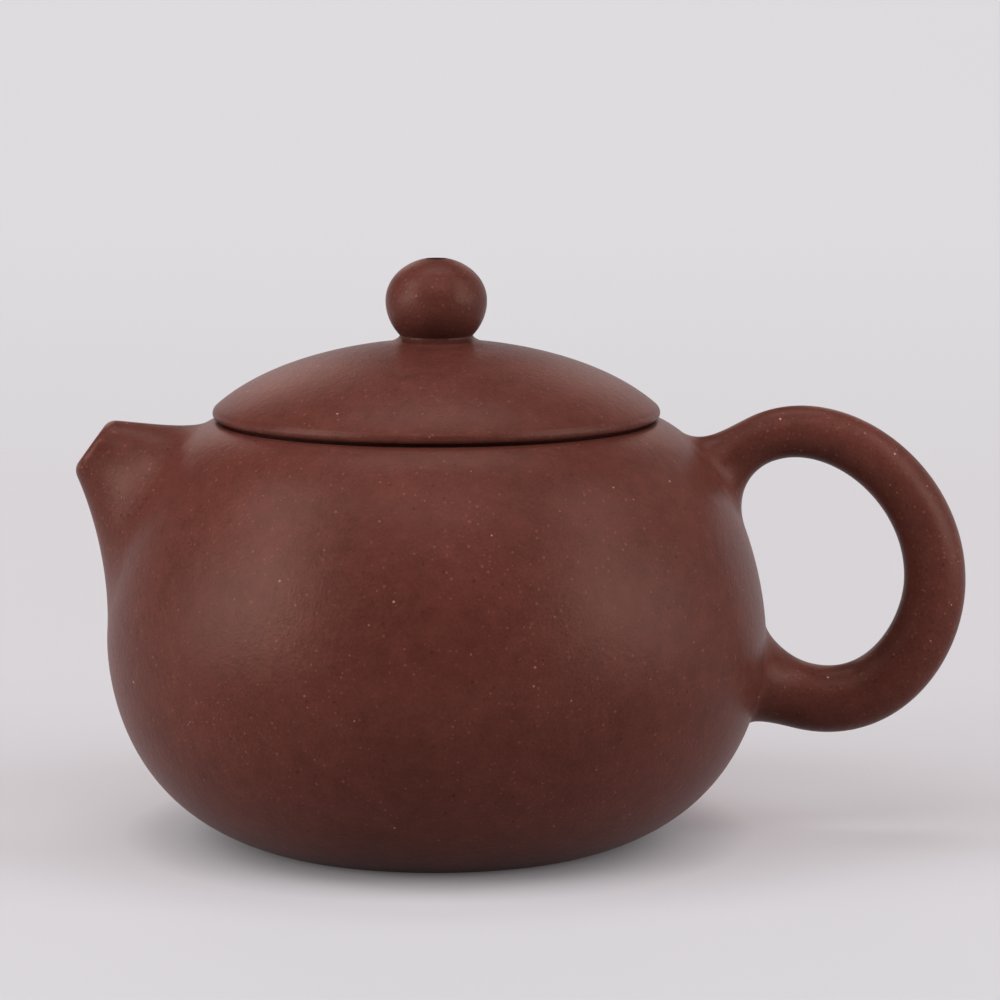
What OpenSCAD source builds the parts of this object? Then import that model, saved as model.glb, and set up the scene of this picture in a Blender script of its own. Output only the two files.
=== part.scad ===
// Round clay teapot with a full belly, a short spout, an ear-shaped handle
// and a domed lid that drops into the mouth.
// Z = 0 is the plane the foot rests on and the Z axis is the axis of the pot.
// The spout points along -X and the handle along +X. All sizes are in millimetres.

/* [Body] */
// Radius of the belly at its widest
belly_r = 46.4; // [43:0.1:60]
// Height of the widest part of the belly
belly_z = 28; // [24:0.5:33]
// Length of the upright stretch of the belly, which sets how full it is
belly_upright = 6.4; // [4:0.1:9]
// Radius of the foot, where the wall leaves the table
foot_r = 26.9; // [22:0.1:31]
// Slope of the underside next to the foot, in degrees
foot_slope = 18; // [10:1:30]
// How far inside the belly's radius the underside begins its turn upwards
low_turn = 2.5; // [1.5:0.1:4]
// Height of the shoulder at the mouth
shoulder_z = 58.8; // [54:0.1:70]
// Slope of the shoulder at the mouth, in degrees
shoulder_slope = 22.6; // [15:0.2:32]
// How far inside the belly's radius the shoulder begins its turn downwards
high_turn = 4.2; // [3:0.1:6]
// Thickness of the wall
wall_t = 2.6; // [2:0.1:3.4]

/* [Base] */
// Width of the flat ring that the pot rests on
rest_w = 2.4; // [1.6:0.1:4]
// How far the rim of the base disc is set up from the table
base_lift = 0.5; // [0.3:0.1:1]
// How much higher the pressed-in centre of the base lies than its rim
base_dish = 0.9; // [0.3:0.1:1.6]
// Thickness of the base disc
base_t = 2.9; // [2.2:0.1:4]

/* [Mouth] */
// Radius of the open mouth
mouth_r = 26.2; // [22:0.1:28]
// Width of the flat seat round the mouth
seat_w = 3.6; // [2.6:0.1:4.4]
// How far the seat stands above the end of the shoulder
seat_rise = 0.9; // [0.6:0.1:1.6]
// Width of the shadow groove between the seat and the shoulder
groove_w = 1.3; // [0.9:0.1:2]
// Rounding of the edges of the mouth ring
mouth_edge = 0.35; // [0.2:0.05:0.5]

/* [Lid] */
// How far the rim of the lid reaches past the shoulder's end
lid_overhang = 0.35; // [0:0.05:1]
// Height of the dome above the seat
dome_h = 10.3; // [8:0.1:15]
// Height of the upper edge of the lid's rim above the seat
rim_h = 1.1; // [0.9:0.1:1.6]
// Slope of the dome at its rim, in degrees
dome_slope = 41; // [34:1:50]
// How far the dome carries on at that slope above its rim
dome_reach = 10.5; // [8:0.1:13]
// How far the top of the dome carries on level from the axis
dome_level = 8.9; // [6:0.1:12]
// Thickness of the dome
dome_t = 2.5; // [2:0.1:3.2]
// Thickness of the flat ring under the dome's rim
plate_t = 0.9; // [0.6:0.05:1]
// Height of the collar that hangs in the mouth
flange_h = 6.2; // [4:0.1:9]
// Thickness of that collar
flange_t = 2.2; // [1.6:0.1:2.8]
// Clearance between the collar and the mouth, each side
flange_gap = 0.3; // [0.2:0.05:0.6]

/* [Knob] */
// Radius of the ball knob
knob_r = 7.1; // [6:0.1:9]
// Height of the widest part of the ball above the top of the dome
knob_rise = 5.6; // [4.5:0.1:7]
// Height of the ball above its widest part
knob_crown = 6; // [5:0.1:8]
// Depth of the full ball below its widest part
knob_under = 7; // [6:0.1:8]
// Radius of the neck where the ball meets the dome
neck_r = 5.1; // [4:0.1:5.6]
// Diameter of the vent hole through knob and dome
vent_d = 2.6; // [1.6:0.1:3.2]
// Width of the bevel round the vent's outer end
vent_bevel = 0.35; // [0.2:0.05:0.6]

/* [Spout] */
// How far the middle of the spout's mouth lies beyond the belly's radius
spout_out = 1.9; // [0:0.1:6]
// How far the middle of the spout's mouth lies below the shoulder's end
spout_drop = 3.6; // [2:0.1:6]
// Rise of the spout above level, in degrees
spout_rise = 36; // [32:1:42]
// Outer radius of the spout's mouth
spout_tip_r = 4.6; // [3.6:0.1:5]
// Wall at the spout's mouth
spout_tip_t = 0.9; // [0.7:0.05:1.2]
// How far below the shoulder's end the upper side of the root begins
spout_root_drop = 0.3; // [0.3:0.05:2]
// How far above the widest part of the belly the lower side of the root ends
spout_root_low = 1; // [-2:0.5:8]
// Half the width of the root
spout_root_side = 13; // [11:0.5:15]
// Radius of the round hole through the wall behind the spout
spout_hole_r = 5.4; // [4.6:0.1:6]

/* [Strainer] */
// Outer radius of the perforated ball
ball_r = 7.3; // [7:0.1:8]
// Thickness of the ball
ball_t = 1.4; // [1:0.1:1.6]
// Diameter of the small holes
pin_d = 1.3; // [0.9:0.05:1.4]
// Number of rings of small holes round the middle one
pin_rings = 3; // [1:1:3]
// Angle from one ring of holes to the next, in degrees
pin_step = 20; // [18:1:22]

/* [Handle] */
// How far the handle's centre line reaches beyond the belly's radius
handle_out = 23.8; // [20:0.1:30]
// How far the outermost point lies below the middle of the two roots
handle_sag = 0.4; // [-3:0.1:4]
// Depth of the upper root's centre below the shoulder's end
handle_top_drop = 7.8; // [6:0.1:9]
// Depth of the lower root's centre below the widest part of the belly
handle_low_drop = 6; // [4:0.1:8]
// Thickness of the handle just outside its upper root
handle_top_d = 6.6; // [5:0.1:8]
// Thickness of the handle just outside its lower root
handle_low_d = 9.5; // [8:0.1:11]
// Slope at which the handle rises from its upper root, in degrees
handle_top_slope = 56; // [48:0.5:60]
// Slope at which the handle drops away from its lower root, in degrees
handle_low_slope = 31; // [24:0.5:36]
// Depth of the upper root's top edge below the shoulder's end
handle_top_from = 1.5; // [1:0.1:3]
// Depth of the upper root's bottom edge below the shoulder's end
handle_top_to = 15.4; // [13:0.1:18]
// Height of the lower root's top edge above the widest part of the belly
handle_low_from = 2; // [0:0.1:4]
// Depth of the lower root's bottom edge below the widest part of the belly
handle_low_to = 12.8; // [11:0.1:15]
// How much wider than the handle both roots are at the sides
handle_side_spread = 2.4; // [1.5:0.1:4]

/* [Hidden] */

clay = [0.37, 0.2, 0.17];
clay_inside = [0.42, 0.24, 0.2];
$fn = 96;

// Steps along each half of the wall's curve, the dome and a rounded edge
wall_steps = 18;
dome_steps = 20;
edge_steps = 4;
// Steps round the spout and the handle, and along their parts
round_steps = 32;
root_steps = 8;
lip_steps = 4;
bore_steps = 5;
seam_steps = 8;
// Halvings used to find a place on the wall, and the span its slope is taken over
land_tries = 26;
slope_span = 1;
// How far a root's buried face lies off the wall, so that the two don't overlap
root_film = 0.035;
bow_steps = 20;
// Sides of a small hole in the strainer
pin_sides = 24;

// ---- Heights and radii that follow from the sizes above ----
seat_r = mouth_r + seat_w;
shoulder_r = seat_r + groove_w;
seat_z = shoulder_z + seat_rise;
base_r = foot_r - rest_w;
floor_z = base_lift + base_t;
lid_r = shoulder_r + lid_overhang;
flange_r = mouth_r - flange_gap;
flange_in_r = flange_r - flange_t;
plate_z = seat_z + plate_t;
dome_z = seat_z + dome_h;

// ---- Curves ----
function unit(v) = v / norm(v);
function mix(a, b, t) = a + (b - a) * t;
function backwards(points) = [for (i = [len(points) - 1 : -1 : 0]) points[i]];
function polar(angle) = [cos(angle), sin(angle)];
function arc(centre, r, from, to) =
    [for (i = [0 : edge_steps]) centre + r * polar(mix(from, to, i / edge_steps))];

// A curve from point a to point b that leaves each end at a given angle.
// The reach at each end says how far the curve keeps to that direction.
function curve(a, a_angle, a_reach, b, b_angle, b_reach) =
    [a, a + a_reach * polar(a_angle), b + b_reach * polar(b_angle), b];
function along(c, t) =
    (1 - t)^3 * c[0] + 3 * (1 - t)^2 * t * c[1] + 3 * (1 - t) * t^2 * c[2] + t^3 * c[3];
function heading(c, t) =
    unit((1 - t)^2 * (c[1] - c[0]) + 2 * (1 - t) * t * (c[2] - c[1]) + t^2 * (c[3] - c[2]));
// A point at a given depth to the left of the curve
function beside(c, t, depth) =
    let (way = heading(c, t)) along(c, t) + depth * [-way[1], way[0]];
function traced(c, steps, depth = 0, first = 0) =
    [for (i = [first : steps]) beside(c, i / steps, depth)];

// ---- The wall's outline, from the foot over the belly to the shoulder ----
// Both halves bend equally at the belly, so no line shows where they meet.
foot = [foot_r, 0];
belly = [belly_r, belly_z];
shoulder = [shoulder_r, shoulder_z];
low_reach = (belly_r - low_turn - foot_r) / cos(foot_slope);
high_reach = (belly_r - high_turn - shoulder_r) / cos(shoulder_slope);
high_upright = belly_upright * sqrt(high_turn / low_turn);
low_half = curve(foot, foot_slope, low_reach, belly, -90, belly_upright);
high_half = curve(belly, 90, high_upright, shoulder, -shoulder_slope, high_reach);
function wall_line(depth) =
    concat(traced(low_half, wall_steps, depth), traced(high_half, wall_steps, depth, 1));
outer_line = wall_line(0);
inner_start_z = floor_z + wall_t / 4;
inner_line = [for (p = wall_line(wall_t)) if (p[1] > inner_start_z) p];
neck = inner_line[len(inner_line) - 1];

// ---- Finding places on the wall's surface ----
function heights(line) = [for (p = line) [p[1], p[0]]];
outer_heights = heights(outer_line);
inner_heights = heights(inner_line);
function wall_radius(z) = lookup(z, outer_heights);
function clear_of(surface, p, film) = norm([p[0], p[1]]) - lookup(p[2], surface) - film;
// The point where a line through p crosses the surface, between a place
// outside the wall and a place inside it, both given along the line
function land(surface, p, way, outside, inside, film = 0, tries = land_tries) =
    let (middle = (outside + inside) / 2)
    tries == 0 ? p + middle * way
    : clear_of(surface, p + middle * way, film) > 0
        ? land(surface, p, way, middle, inside, film, tries - 1)
        : land(surface, p, way, outside, middle, film, tries - 1);
// Direction square to the wall, seen in the plane of the axis
function wall_normal(p) =
    let (step = slope_span / 2, lean = (wall_radius(p[2] + step) - wall_radius(p[2] - step)) / slope_span)
    unit([p[0] / norm([p[0], p[1]]), p[1] / norm([p[0], p[1]]), -lean]);

// ---- Roots: where the spout and the handle are smoothed on to the wall ----
y_axis = [0, 1, 0];
function round_angle(i) = 360 * i / round_steps;
function turned(v) = [v[2], 0, -v[0]];
// The closed line on the wall round a root, from its near end to its far end
function root_line(near, far, half_side, outwards) =
    let (middle = (near + far) / 2)
    [for (i = [0 : round_steps - 1])
        land(outer_heights,
             middle + cos(round_angle(i)) * (near - middle) + half_side * sin(round_angle(i)) * y_axis,
             outwards, belly_r / 2, -belly_r / 2)];
// The same line drawn in by a share of the way towards the points of another
function drawn_in(line, target, share, outwards) =
    [for (i = [0 : round_steps - 1]) buried(mix(line[i], target[i], share), outwards)];
function buried(p, outwards) =
    land(outer_heights, p, outwards, belly_r / 2, -belly_r / 2, root_film);
// A fillet rib from p, which it leaves along way, to the wall at q, where it lies flat
function rib(p, way, q, middle, p_pull, q_pull) =
    let (span = norm(q - p),
         square = wall_normal(q),
         towards = middle - q,
         flat = unit(towards - (towards * square) * square))
    [p, p + p_pull * span * way, q + q_pull * span * flat, q];

// Faces of a skin over rings of equal length, each joined to the next
function band_faces(rings, closed) =
    [for (j = [0 : rings - (closed ? 1 : 2)], i = [0 : round_steps - 1])
        let (k = (i + 1) % round_steps,
             a = j * round_steps,
             b = ((j + 1) % rings) * round_steps)
        each [[a + i, b + i, b + k], [a + i, b + k, a + k]]];
function fan_faces(ring, tip, flip) =
    [for (i = [0 : round_steps - 1])
        let (a = ring * round_steps + i, b = ring * round_steps + (i + 1) % round_steps)
        flip ? [a, b, tip] : [b, a, tip]];
function joined(lists) = [for (l = lists) each l];

// ---- Body ----
module body_wall() {
    color(clay)
    difference() {
        rotate_extrude()
            polygon(concat([[base_r, 0]], outer_line, backwards(inner_line), [[base_r, floor_z]]));
        along_spout(spout_tip) cylinder(h = belly_r, r = spout_hole_r);
    }
}

// The underside is pressed in, so the pot rests on the ring round it
module base_disc() {
    rise = [for (i = [0 : edge_steps * 2]) let (t = i / (edge_steps * 2)) [base_r * t, base_dish * (1 - t^2)]];
    under = [for (p = rise) p + [0, base_lift]];
    top = [for (p = rise) p + [0, floor_z]];
    color(clay) rotate_extrude() polygon(concat(under, backwards(top)));
}

// Rounding of the mouth's lower edge, as a share of the ring's width there
neck_round_share = 0.25;

// Thickened ring round the mouth, with the flat seat for the lid on top
module mouth_ring() {
    e = mouth_edge;
    neck_round = neck_round_share * (neck[0] - mouth_r);
    color(clay)
    rotate_extrude()
        polygon(concat(
            [shoulder, [seat_r, shoulder_z]],
            arc([seat_r - e, seat_z - e], e, 0, 90),
            arc([mouth_r + e, seat_z - e], e, 90, 180),
            arc([mouth_r + neck_round, neck[1] + neck_round], neck_round, 180, 270),
            [neck]));
}

// ---- Spout ----
spout_in = [cos(spout_rise), 0, -sin(spout_rise)];
spout_up = [sin(spout_rise), 0, cos(spout_rise)];
spout_tip = [-(belly_r + spout_out), 0, shoulder_z - spout_drop];
spout_lip = spout_tip_t / 2;
// Angles at which the spout widens away from its mouth, in its own plane and to the sides
spout_widen = 31;
spout_widen_side = 11;
// How far its ribs keep to that direction, and to the wall's, as shares of their span
spout_tip_pull = 0.44;
spout_wall_pull = 0.2;
function spout_place(r, back, angle) =
    spout_tip + back * spout_in + r * (cos(angle) * spout_up + sin(angle) * y_axis);

module along_spout(place) {
    translate(place) rotate([0, 90 + spout_rise, 0]) children();
}

module spout() {
    root_top_z = shoulder_z - spout_root_drop;
    root_low_z = belly_z + spout_root_low;
    root_top = [-wall_radius(root_top_z), 0, root_top_z];
    root_low = [-wall_radius(root_low_z), 0, root_low_z];
    outwards = unit(turned(root_low - root_top));
    root = root_line(root_top, root_low, spout_root_side, outwards);
    hole = [for (i = [0 : round_steps - 1])
        land(outer_heights, spout_place(spout_hole_r, 0, round_angle(i)), spout_in, 0, belly_r / 2)];
    ribs = [for (i = [0 : round_steps - 1])
        let (a = round_angle(i),
             way = spout_in + tan(spout_widen) * cos(a) * spout_up
                 + tan(spout_widen_side) * sin(a) * y_axis)
        rib(spout_place(spout_tip_r, spout_lip, a), unit(way), root[i],
            (root_top + root_low) / 2, spout_tip_pull, spout_wall_pull)];
    side = [for (j = [root_steps * 2 : -1 : 1]) [for (r = ribs) along(r, j / (root_steps * 2))]];
    lip = [for (j = [0 : lip_steps])
        let (a = 180 * j / lip_steps)
        [for (i = [0 : round_steps - 1])
            spout_place(spout_tip_r - spout_lip + spout_lip * cos(a), spout_lip * (1 - sin(a)),
                        round_angle(i))]];
    bore = [for (j = [1 : bore_steps])
        [for (i = [0 : round_steps - 1]) mix(lip[lip_steps][i], hole[i], j / bore_steps)]];
    seam = [for (j = [1 : seam_steps]) drawn_in(hole, root, j / (seam_steps + 1), outwards)];
    rings = concat(side, lip, bore, seam);
    color(clay)
        polyhedron(points = joined(rings), faces = band_faces(len(rings), true));
}

// Perforated ball over the hole behind the spout, seated on the inside of the wall
ball_place = land(inner_heights, spout_tip, spout_in, 0, belly_r / 2);
pin_web = 0.9;

module strainer() {
    middle_r = ball_r - ball_t / 2;
    color(clay_inside)
    intersection() {
        along_spout(ball_place) difference() {
            sphere(r = ball_r);
            sphere(r = ball_r - ball_t);
            for (ring = [0 : pin_rings]) {
                tilt = ring * pin_step;
                count = max(1, floor(360 * middle_r * sin(tilt) * PI / 180 / (pin_d + pin_web)));
                for (k = [0 : count - 1])
                    rotate([0, tilt, 360 * k / count])
                    translate([0, 0, middle_r - ball_t])
                        cylinder(h = 2 * ball_t, d = pin_d, $fn = pin_sides);
            }
        }
        rotate_extrude()
            polygon(concat([[0, floor_z]], inner_line, [[0, neck[1]]]));
    }
}

// ---- Handle ----
handle_top_z = shoulder_z - handle_top_drop;
handle_low_z = belly_z - handle_low_drop;
handle_far = [belly_r + handle_out, (handle_top_z + handle_low_z) / 2 - handle_sag];
handle_start = [wall_radius(handle_top_z), handle_top_z];
handle_end = [wall_radius(handle_low_z), handle_low_z];
// How full the ear is at each end of its two curves, as shares of what they span
handle_top_full = 0.555;
handle_far_high_full = 1.12;
handle_far_low_full = 0.72;
handle_low_full = 0.71;
high_bow = curve(handle_start, handle_top_slope, handle_top_full * (handle_far[0] - handle_start[0]),
                 handle_far, 90, handle_far_high_full * (handle_top_z - handle_far[1]));
low_bow = curve(handle_far, -90, handle_far_low_full * (handle_far[1] - handle_low_z),
                handle_end, -handle_low_slope, handle_low_full * (handle_far[0] - handle_end[0]));
// Where the plain bar begins and ends, along the upper and the lower curve
bar_begins = 0.16;
bar_ends = 0.86;
// How far the ribs of the roots keep to the bar's direction, and to the wall's
handle_bar_pull = 0.4;
handle_top_pull = 0.4;
handle_low_pull = 0.2;
function bow_curve(t) = t < 1 ? high_bow : low_bow;
function bow_share(t) = t < 1 ? t : t - 1;
function bow_place(t) = let (p = along(bow_curve(t), bow_share(t))) [p[0], 0, p[1]];
function bow_way(t) = let (w = heading(bow_curve(t), bow_share(t))) [w[0], 0, w[1]];
function bar_r(t) = mix(handle_top_d, handle_low_d, sin(45 * t)) / 2;
function bar_ring(t) =
    let (up = -turned(bow_way(t)))
    [for (i = [0 : round_steps - 1])
        bow_place(t) + bar_r(t) * (cos(round_angle(i)) * up + sin(round_angle(i)) * y_axis)];
function wall_place(z) = [wall_radius(z), 0, z];
function root_ribs(t, way, root, q_pull) =
    let (bar = bar_ring(t), middle = (root[0] + root[round_steps / 2]) / 2)
    [for (i = [0 : round_steps - 1])
        rib(bar[i], way, root[i], middle, handle_bar_pull, q_pull)];

module handle() {
    top_near = wall_place(shoulder_z - handle_top_from);
    top_far = wall_place(shoulder_z - handle_top_to);
    low_near = wall_place(belly_z - handle_low_to);
    low_far = wall_place(belly_z + handle_low_from);
    top_out = unit(turned(top_near - top_far));
    low_out = unit(turned(low_far - low_near));
    top_root = root_line(top_near, top_far, handle_top_d / 2 + handle_side_spread, top_out);
    low_root = root_line(low_near, low_far, handle_low_d / 2 + handle_side_spread, low_out);
    top_ribs = root_ribs(bar_begins, -bow_way(bar_begins), top_root, handle_top_pull);
    low_ribs = root_ribs(1 + bar_ends, bow_way(1 + bar_ends), low_root, handle_low_pull);
    top_middle = buried((top_near + top_far) / 2, top_out);
    low_middle = buried((low_near + low_far) / 2, low_out);
    top_cap = [for (j = [1 : seam_steps])
        drawn_in(top_root, [for (p = top_root) top_middle], j / (seam_steps + 1), top_out)];
    low_cap = [for (j = [seam_steps : -1 : 1])
        drawn_in(low_root, [for (p = low_root) low_middle], j / (seam_steps + 1), low_out)];
    rings = concat(
        low_cap,
        [for (j = [root_steps : -1 : 1]) [for (r = low_ribs) along(r, j / root_steps)]],
        [for (j = [bow_steps : -1 : 0]) bar_ring(mix(bar_begins, 1 + bar_ends, j / bow_steps))],
        [for (j = [1 : root_steps]) [for (r = top_ribs) along(r, j / root_steps)]],
        top_cap);
    count = len(rings);
    color(clay)
        polyhedron(
            points = concat(joined(rings), [low_middle, top_middle]),
            faces = concat(
                band_faces(count, false),
                fan_faces(0, count * round_steps, true),
                fan_faces(count - 1, count * round_steps + 1, false)));
}

// ---- Lid ----
rim_in = 0.45;
rim_curl = 0.75;
rim_tuck = 0.19;
// Gap kept between the last points of a traced line and the corner that follows
corner_gap = 0.1;
rim_top = [lid_r - rim_in, seat_z + rim_h];
rim_low = [lid_r - rim_in - rim_tuck, seat_z];
dome_curve = curve([0, dome_z], 0, dome_level, rim_top, 180 - dome_slope, dome_reach);
dome_line = traced(dome_curve, dome_steps);
dome_under = traced(dome_curve, dome_steps, -dome_t);
function dome_height(r) = lookup(r, dome_line);

// Domed disc of even thickness, thicker over the flat ring
module lid_dome() {
    rim = traced(curve(rim_top, -dome_slope, rim_curl, rim_low, 0, rim_curl), edge_steps * 2, 0, 1);
    hollow = [for (p = dome_under) if (p[0] < flange_in_r - corner_gap) p];
    color(clay)
    difference() {
        rotate_extrude()
            polygon(concat(
                dome_line, rim,
                [[seat_r, seat_z], [seat_r, plate_z], [flange_in_r, plate_z],
                 [flange_in_r, lookup(flange_in_r, dome_under)]],
                backwards(hollow)));
        vent();
    }
}

// Flat ring under the dome's rim, which rests on the seat of the mouth
module lid_plate() {
    color(clay)
    rotate_extrude()
        translate([flange_in_r, seat_z]) square([seat_r - flange_in_r, plate_t]);
}

// Collar that hangs in the mouth and keeps the lid central
module lid_flange() {
    e = mouth_edge;
    low = seat_z - flange_h;
    color(clay)
    rotate_extrude()
        polygon(concat(
            [[flange_in_r, seat_z]],
            arc([flange_in_r + e, low + e], e, 180, 270),
            arc([flange_r - e, low + e], e, 270, 360),
            [[flange_r, seat_z]]));
}

// ---- Knob ----
knob_z = dome_z + knob_rise;
neck_fillet = 0.5;
knob_steps = 28;

module vent() {
    cylinder(h = dome_z + knob_rise + 2 * knob_crown, d = vent_d);
}

// Ball flattened a little on top, whose neck follows the dome underneath
module knob() {
    low_angle = -acos(neck_r / knob_r);
    base = neck_r + neck_fillet;
    ball = [for (i = [0 : knob_steps])
        let (a = mix(90, low_angle, i / knob_steps))
        [knob_r * cos(a), knob_z + (a > 0 ? knob_crown : knob_under) * sin(a)]];
    seat = [for (p = dome_line) if (p[0] < base - corner_gap) p];
    color(clay)
    difference() {
        rotate_extrude()
            polygon(concat(ball, [[base, dome_height(base)]], backwards(seat)));
        vent();
        translate([0, 0, knob_z + knob_crown - vent_bevel])
            cylinder(h = 2 * vent_bevel, d1 = vent_d, d2 = vent_d + 4 * vent_bevel);
    }
}

body_wall();
base_disc();
mouth_ring();
spout();
strainer();
handle();
lid_dome();
lid_plate();
lid_flange();
knob();
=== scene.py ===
from math import acos, atan2, cos, degrees, pi, radians, sin, sqrt, tan
import bmesh
import bpy
import numpy as np
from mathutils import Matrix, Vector
from mathutils.geometry import delaunay_2d_cdt


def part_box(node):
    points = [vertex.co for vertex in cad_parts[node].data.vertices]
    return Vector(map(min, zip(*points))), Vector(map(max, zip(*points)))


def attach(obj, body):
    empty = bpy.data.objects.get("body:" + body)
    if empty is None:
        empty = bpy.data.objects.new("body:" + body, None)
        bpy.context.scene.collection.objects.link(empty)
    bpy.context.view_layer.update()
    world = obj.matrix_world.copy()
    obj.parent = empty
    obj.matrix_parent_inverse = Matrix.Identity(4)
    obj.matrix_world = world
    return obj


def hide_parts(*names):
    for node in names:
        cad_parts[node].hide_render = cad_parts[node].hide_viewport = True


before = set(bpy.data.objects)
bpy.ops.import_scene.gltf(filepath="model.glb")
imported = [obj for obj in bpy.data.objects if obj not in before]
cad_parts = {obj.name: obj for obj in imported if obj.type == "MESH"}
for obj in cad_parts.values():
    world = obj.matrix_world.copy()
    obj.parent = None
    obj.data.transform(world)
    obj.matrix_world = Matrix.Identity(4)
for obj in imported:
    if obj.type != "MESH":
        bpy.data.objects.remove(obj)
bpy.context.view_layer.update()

mm = 0.001
closeBy, tiny = 1e-3, 1e-6      # tolerances, in millimetres
sideways = np.array([0.0, 1.0, 0.0])


def boxOf(node):
    # lowest and highest corner of a solid, in millimetres
    low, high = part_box(node)
    return np.array(low) / mm, np.array(high) / mm


wallHigh = boxOf("body_wall")[1]
ringLow, ringHigh = boxOf("mouth_ring")
baseLow, baseHigh = boxOf("base_disc")
domeLow, domeHigh = boxOf("lid_dome")
collarLow, collarHigh = boxOf("lid_flange")
knobHigh = boxOf("knob")[1]


# flat curves are radius and height
def direction(angle):
    return np.array([cos(radians(angle)), sin(radians(angle))])


def unit(v):
    return v / np.linalg.norm(v, axis=-1, keepdims=True)


def slopeOf(way):
    return degrees(atan2(way[1], way[0]))


def handles(a, aAngle, aReach, b, bAngle, bReach):
    # a curve that leaves each end at a given angle and keeps to it for its reach
    a, b = np.array(a, float), np.array(b, float)
    return [a, a + aReach * direction(aAngle), b + bReach * direction(bAngle), b]


def along(curve, t):
    t = np.asarray(t, float)[..., None]
    a, b, c, d = curve
    return (1 - t) ** 3 * a + 3 * (1 - t) ** 2 * t * b + 3 * (1 - t) * t ** 2 * c + t ** 3 * d


def heading(curve, t):
    t = np.asarray(t, float)[..., None]
    a, b, c, d = curve
    return unit((1 - t) ** 2 * (b - a) + 2 * (1 - t) * t * (c - b) + t ** 2 * (d - c))


def beside(curve, t, depth):
    # points to the left of the curve
    way = heading(curve, t)
    return along(curve, t) + depth * np.stack([-way[..., 1], way[..., 0]], -1)


def swept(curve, steps):
    return along(curve, np.linspace(0, 1, steps + 1))


def line(a, b, steps=1):
    t = np.linspace(0, 1, steps + 1)[:, None]
    return np.array(a, float) * (1 - t) + np.array(b, float) * t


def arc(centre, radius, start, end, steps):
    a = np.radians(np.linspace(start, end, steps + 1))
    return np.array(centre, float) + radius * np.stack([np.cos(a), np.sin(a)], -1)


def chain(*parts):
    # one run of points, without the doubles where its parts meet
    points = np.vstack(parts)
    gap = np.linalg.norm(np.diff(points, axis=0), axis=1)
    return points[np.concatenate([[True], gap > closeBy])]


def addObject(name, data):
    obj = bpy.data.objects.new(name, data)
    bpy.context.scene.collection.objects.link(obj)
    return obj


def newMesh(name, points, faces, edges=()):
    mesh = bpy.data.meshes.new(name)
    mesh.from_pydata([tuple(p) for p in np.asarray(points) * mm], list(edges), faces)
    mesh.update()
    return addObject(name, mesh)


def finishMesh(obj):
    # drops loose points, closes doubles and turns the faces outwards
    bm = bmesh.new()
    bm.from_mesh(obj.data)
    bmesh.ops.remove_doubles(bm, verts=bm.verts, dist=1e-7)
    bmesh.ops.delete(bm, geom=[v for v in bm.verts if not v.link_faces], context="VERTS")
    bmesh.ops.recalc_face_normals(bm, faces=bm.faces)
    openEdges = sum(1 for e in bm.edges if len(e.link_faces) != 2)
    bm.to_mesh(obj.data)
    bm.free()
    obj.data.shade_smooth()
    print("  ", obj.name, len(obj.data.polygons), "faces,", openEdges, "open edges")
    return obj


def markStainAndShade(obj, share):
    # stores how much of the dark tea stain and painted shade lies at each point
    points = np.zeros(len(obj.data.vertices) * 3)
    obj.data.vertices.foreach_get("co", points)
    layer = obj.data.attributes.new("teaStainAndShade", "FLOAT", "POINT")
    layer.data.foreach_set("value", np.clip(share(points.reshape(-1, 3) / mm), 0, 1))
    return obj


class Tree:
    # short ways to add nodes to a tree, to set their sockets and to link them
    def __init__(self, tree):
        self.nodes, self.links = tree.nodes, tree.links

    def put(self, socket, value):
        if isinstance(value, bpy.types.NodeSocket):
            self.links.new(value, socket)
        else:
            socket.default_value = value

    def add(self, kind, output=0, settings=None, **inputs):
        node = self.nodes.new(kind)
        for key, value in (settings or {}).items():
            setattr(node, key, value)
        for key, value in inputs.items():
            name = key.replace("_", " ")
            found = [s for s in node.inputs if s.name == name and s.enabled]
            self.put(found[0], value)
        return node.outputs[output] if output is not None else node

    def math(self, operation, a, b=0.0, clamp=False):
        node = self.nodes.new("ShaderNodeMath")
        node.operation, node.use_clamp = operation, clamp
        self.put(node.inputs[0], a)
        self.put(node.inputs[1], b)
        return node.outputs[0]

    def plus(self, a, b):
        return self.math("ADD", a, b)

    def times(self, a, b):
        return self.math("MULTIPLY", a, b)

    def onCircle(self, radius, angle, height):
        return self.add("ShaderNodeCombineXYZ", X=self.times(radius, self.math("COSINE", angle)),
                        Y=self.times(radius, self.math("SINE", angle)), Z=height)


def newTree(sort, name, inputs, outputs):
    # an empty tree with its sockets; each input has a kind and a first value
    tree = bpy.data.node_groups.new(name, sort + "NodeTree")
    for label, (kind, value) in inputs.items():
        socket = tree.interface.new_socket(label, in_out="INPUT", socket_type="NodeSocket" + kind)
        if value is not None:
            socket.default_value = value
    for label, kind in outputs.items():
        tree.interface.new_socket(label, in_out="OUTPUT", socket_type="NodeSocket" + kind)
    start, end = tree.nodes.new("NodeGroupInput"), tree.nodes.new("NodeGroupOutput")
    return tree, Tree(tree), start.outputs, end.inputs


def endTree(t, geometry, given, result):
    # plain geometry in its material goes out
    real = t.add("GeometryNodeRealizeInstances", Geometry=geometry)
    t.put(result["Geometry"], t.add("GeometryNodeSetMaterial", Geometry=real,
                                    Material=given["Material"]))


def runTree(obj, tree, **values):
    # puts the tree on an object as a modifier and turns its result into a plain mesh
    modifier = obj.modifiers.new(tree.name, "NODES")
    modifier.node_group = tree
    for item in tree.interface.items_tree:
        key = item.name.replace(" ", "_")
        if item.in_out == "INPUT" and key in values:
            modifier[item.identifier] = values[key]
    depsgraph = bpy.context.evaluated_depsgraph_get()
    result = bpy.data.meshes.new_from_object(obj.evaluated_get(depsgraph))
    obj.modifiers.remove(modifier)
    obj.data = result


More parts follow.
